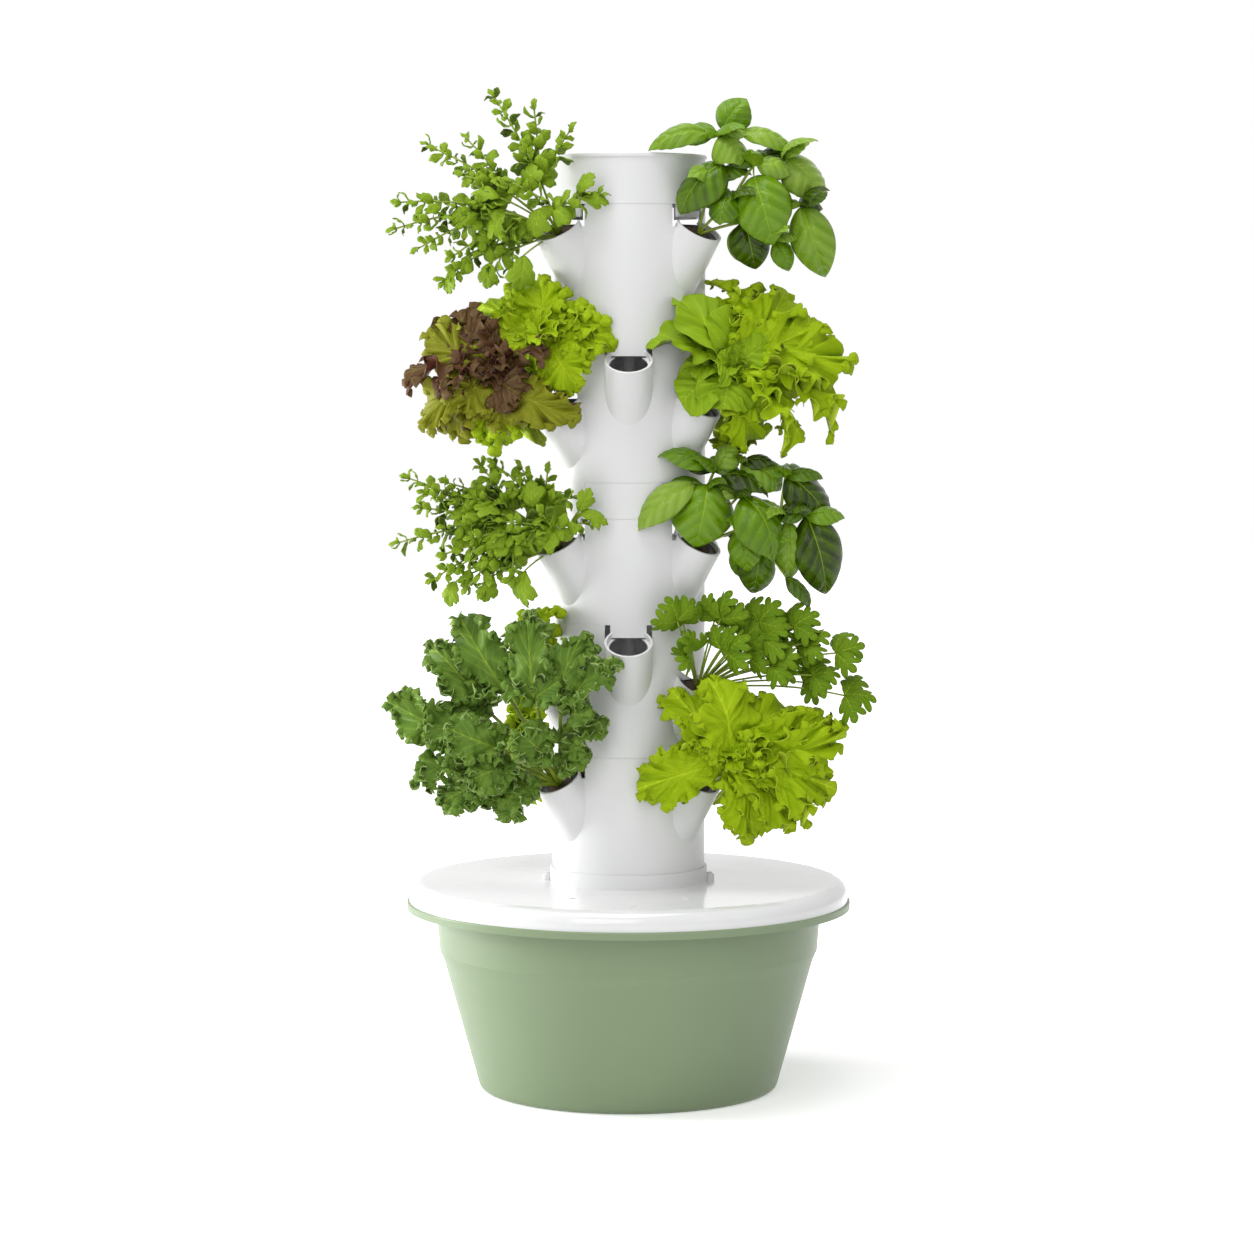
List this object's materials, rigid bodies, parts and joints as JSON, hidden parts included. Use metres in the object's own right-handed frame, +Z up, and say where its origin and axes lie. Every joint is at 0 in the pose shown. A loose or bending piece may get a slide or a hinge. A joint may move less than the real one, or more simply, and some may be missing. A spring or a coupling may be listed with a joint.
{
  "type": "hydroponic tower",
  "caption": "White hydroponic planting tower: stacked sections with tilted pockets, net cups and leafy plants on a sage reservoir with a pump and riser.",
  "frame": {"origin": "middle of the basin's flat bottom, on the floor", "axes": "+Z up along the tower, the front with the open pocket faces -Y, +X to its right"},
  "size_m": [0.6523, 0.6118, 1.3727],
  "materials": {
    "column_white": "satin moulded plastic",
    "lid_white": "glossy moulded plastic",
    "pipe_white": "satin extruded plastic",
    "sage_plastic": "satin moulded plastic",
    "black_rubber": "matte",
    "pump_plastic": "fine matte texture",
    "stator_winding": "resin-coated winding",
    "ferrite": "sintered, matte",
    "steel": "plain stainless",
    "cup_plastic": "matte moulded plastic",
    "herb_leaf": "soft matte leaf",
    "basil_leaf": "glossy puckered leaf",
    "red_leaf": "soft frilled leaf",
    "lettuce_leaf": "soft frilled leaf",
    "bright_leaf": "soft frilled leaf",
    "parsley_leaf": "satin lobed leaf",
    "kale_leaf": "matte curled leaf"
  },
  "bodies": {
    "reservoir": {"reservoir_basin": "sage_plastic", "riser_pipe": "pipe_white", "riser_nozzle": "pipe_white", "hose_adaptor": "black_rubber", "pump_body": "pump_plastic", "pump_stator": "stator_winding", "pump_cover": "pump_plastic", "pump_cover_screws": "steel", "pump_shaft": "steel", "pump_feet": "black_rubber"},
    "pump_impeller": {"pump_rotor": "pump_plastic", "rotor_magnet": "ferrite"},
    "lid": {"reservoir_lid": "lid_white", "base_ring": "column_white", "base_ring_screws": "column_white", "cable_grommet": "black_rubber"},
    "filler": {"fill_cap": "lid_white", "fill_cap_seal": "black_rubber"},
    "section_5": {"tower_section_5": "column_white"},
    "section_4": {"tower_section_4": "column_white"},
    "section_3": {"tower_section_3": "column_white"},
    "coupling": {"coupling_ring": "column_white"},
    "section_2": {"tower_section_2": "column_white"},
    "section_1": {"tower_section_1": "column_white"},
    "cap_ring": {"cap_ring": "column_white", "drip_tray": "column_white"},
    "cap": {"cap_lid": "column_white"},
    "cup_1_left": {"net_cup_1_left": "cup_plastic", "upper_herb": "herb_leaf"},
    "cup_1_right": {"net_cup_1_right": "cup_plastic", "upper_basil": "basil_leaf"},
    "cup_2_left": {"net_cup_2_left": "cup_plastic", "red_lettuce": "red_leaf", "left_lettuce": "lettuce_leaf"},
    "cup_2_right": {"net_cup_2_right": "cup_plastic", "right_lettuce": "lettuce_leaf"},
    "cup_3_left": {"net_cup_3_left": "cup_plastic", "lower_herb": "herb_leaf"},
    "cup_3_right": {"net_cup_3_right": "cup_plastic", "lower_basil": "basil_leaf"},
    "cup_4_left": {"net_cup_4_left": "cup_plastic", "young_lettuce": "bright_leaf"},
    "cup_4_right": {"net_cup_4_right": "cup_plastic", "parsley": "parsley_leaf"},
    "cup_5_left": {"net_cup_5_left": "cup_plastic", "kale": "kale_leaf"},
    "cup_5_right": {"net_cup_5_right": "cup_plastic", "bright_lettuce": "bright_leaf"},
    "cup_2_rear_left": {"net_cup_2_rear_left": "cup_plastic", "rear_lettuce_2_left": "lettuce_leaf"},
    "cup_2_rear_right": {"net_cup_2_rear_right": "cup_plastic", "rear_lettuce_2_right": "lettuce_leaf"},
    "cup_5_rear_left": {"net_cup_5_rear_left": "cup_plastic", "rear_lettuce_5_left": "lettuce_leaf"},
    "cup_5_rear_right": {"net_cup_5_rear_right": "cup_plastic", "rear_lettuce_5_right": "lettuce_leaf"}
  },
  "joints": [
    {"name": "impeller_spin", "type": "hinge", "parent": "reservoir", "child": "pump_impeller", "pos_m": [0, 0, 0.04], "axis": [0, 1, 0], "continuous": true},
    {"name": "lid_lift", "type": "slide", "parent": "reservoir", "child": "lid", "axis": [0, 0, 1], "range_m": [0, 0.06]},
    {"name": "filler_lift", "type": "slide", "parent": "lid", "child": "filler", "axis": [0, 0, 1], "range_m": [0, 0.05]},
    {"name": "section_5_lift", "type": "slide", "parent": "lid", "child": "section_5", "axis": [0, 0, 1], "range_m": [0, 0.06]},
    {"name": "section_4_lift", "type": "slide", "parent": "section_5", "child": "section_4", "axis": [0, 0, 1], "range_m": [0, 0.06]},
    {"name": "section_3_lift", "type": "slide", "parent": "section_4", "child": "section_3", "axis": [0, 0, 1], "range_m": [0, 0.06]},
    {"name": "coupling_lift", "type": "slide", "parent": "section_3", "child": "coupling", "axis": [0, 0, 1], "range_m": [0, 0.06]},
    {"name": "section_2_lift", "type": "slide", "parent": "coupling", "child": "section_2", "axis": [0, 0, 1], "range_m": [0, 0.06]},
    {"name": "section_1_lift", "type": "slide", "parent": "section_2", "child": "section_1", "axis": [0, 0, 1], "range_m": [0, 0.06]},
    {"name": "cap_ring_lift", "type": "slide", "parent": "section_1", "child": "cap_ring", "axis": [0, 0, 1], "range_m": [0, 0.06]},
    {"name": "cap_lift", "type": "slide", "parent": "cap_ring", "child": "cap", "axis": [0, 0, 1], "range_m": [0, 0.06]},
    {"name": "cup_1_left_draw", "type": "slide", "parent": "section_1", "child": "cup_1_left", "axis": [-0.4176, -0.3263, 0.848], "range_m": [0, 0.07], "deforming": ["upper_herb"]},
    {"name": "cup_1_right_draw", "type": "slide", "parent": "section_1", "child": "cup_1_right", "axis": [0.4176, -0.3263, 0.848], "range_m": [0, 0.07], "deforming": ["upper_basil"]},
    {"name": "cup_2_left_draw", "type": "slide", "parent": "section_2", "child": "cup_2_left", "axis": [-0.4176, -0.3263, 0.848], "range_m": [0, 0.07], "deforming": ["red_lettuce", "left_lettuce"]},
    {"name": "cup_2_right_draw", "type": "slide", "parent": "section_2", "child": "cup_2_right", "axis": [0.4176, -0.3263, 0.848], "range_m": [0, 0.07], "deforming": ["right_lettuce"]},
    {"name": "cup_3_left_draw", "type": "slide", "parent": "section_3", "child": "cup_3_left", "axis": [-0.4176, -0.3263, 0.848], "range_m": [0, 0.07], "deforming": ["lower_herb"]},
    {"name": "cup_3_right_draw", "type": "slide", "parent": "section_3", "child": "cup_3_right", "axis": [0.4176, -0.3263, 0.848], "range_m": [0, 0.07], "deforming": ["lower_basil"]},
    {"name": "cup_4_left_draw", "type": "slide", "parent": "section_4", "child": "cup_4_left", "axis": [-0.4176, -0.3263, 0.848], "range_m": [0, 0.07], "deforming": ["young_lettuce"]},
    {"name": "cup_4_right_draw", "type": "slide", "parent": "section_4", "child": "cup_4_right", "axis": [0.4176, -0.3263, 0.848], "range_m": [0, 0.07], "deforming": ["parsley"]},
    {"name": "cup_5_left_draw", "type": "slide", "parent": "section_5", "child": "cup_5_left", "axis": [-0.4176, -0.3263, 0.848], "range_m": [0, 0.07], "deforming": ["kale"]},
    {"name": "cup_5_right_draw", "type": "slide", "parent": "section_5", "child": "cup_5_right", "axis": [0.4176, -0.3263, 0.848], "range_m": [0, 0.07], "deforming": ["bright_lettuce"]},
    {"name": "cup_2_rear_left_draw", "type": "slide", "parent": "section_2", "child": "cup_2_rear_left", "axis": [-0.4176, 0.3263, 0.848], "range_m": [0, 0.07], "deforming": ["rear_lettuce_2_left"]},
    {"name": "cup_2_rear_right_draw", "type": "slide", "parent": "section_2", "child": "cup_2_rear_right", "axis": [0.4176, 0.3263, 0.848], "range_m": [0, 0.07], "deforming": ["rear_lettuce_2_right"]},
    {"name": "cup_5_rear_left_draw", "type": "slide", "parent": "section_5", "child": "cup_5_rear_left", "axis": [-0.4176, 0.3263, 0.848], "range_m": [0, 0.07], "deforming": ["rear_lettuce_5_left"]},
    {"name": "cup_5_rear_right_draw", "type": "slide", "parent": "section_5", "child": "cup_5_rear_right", "axis": [0.4176, 0.3263, 0.848], "range_m": [0, 0.07], "deforming": ["rear_lettuce_5_right"]}
  ]
}
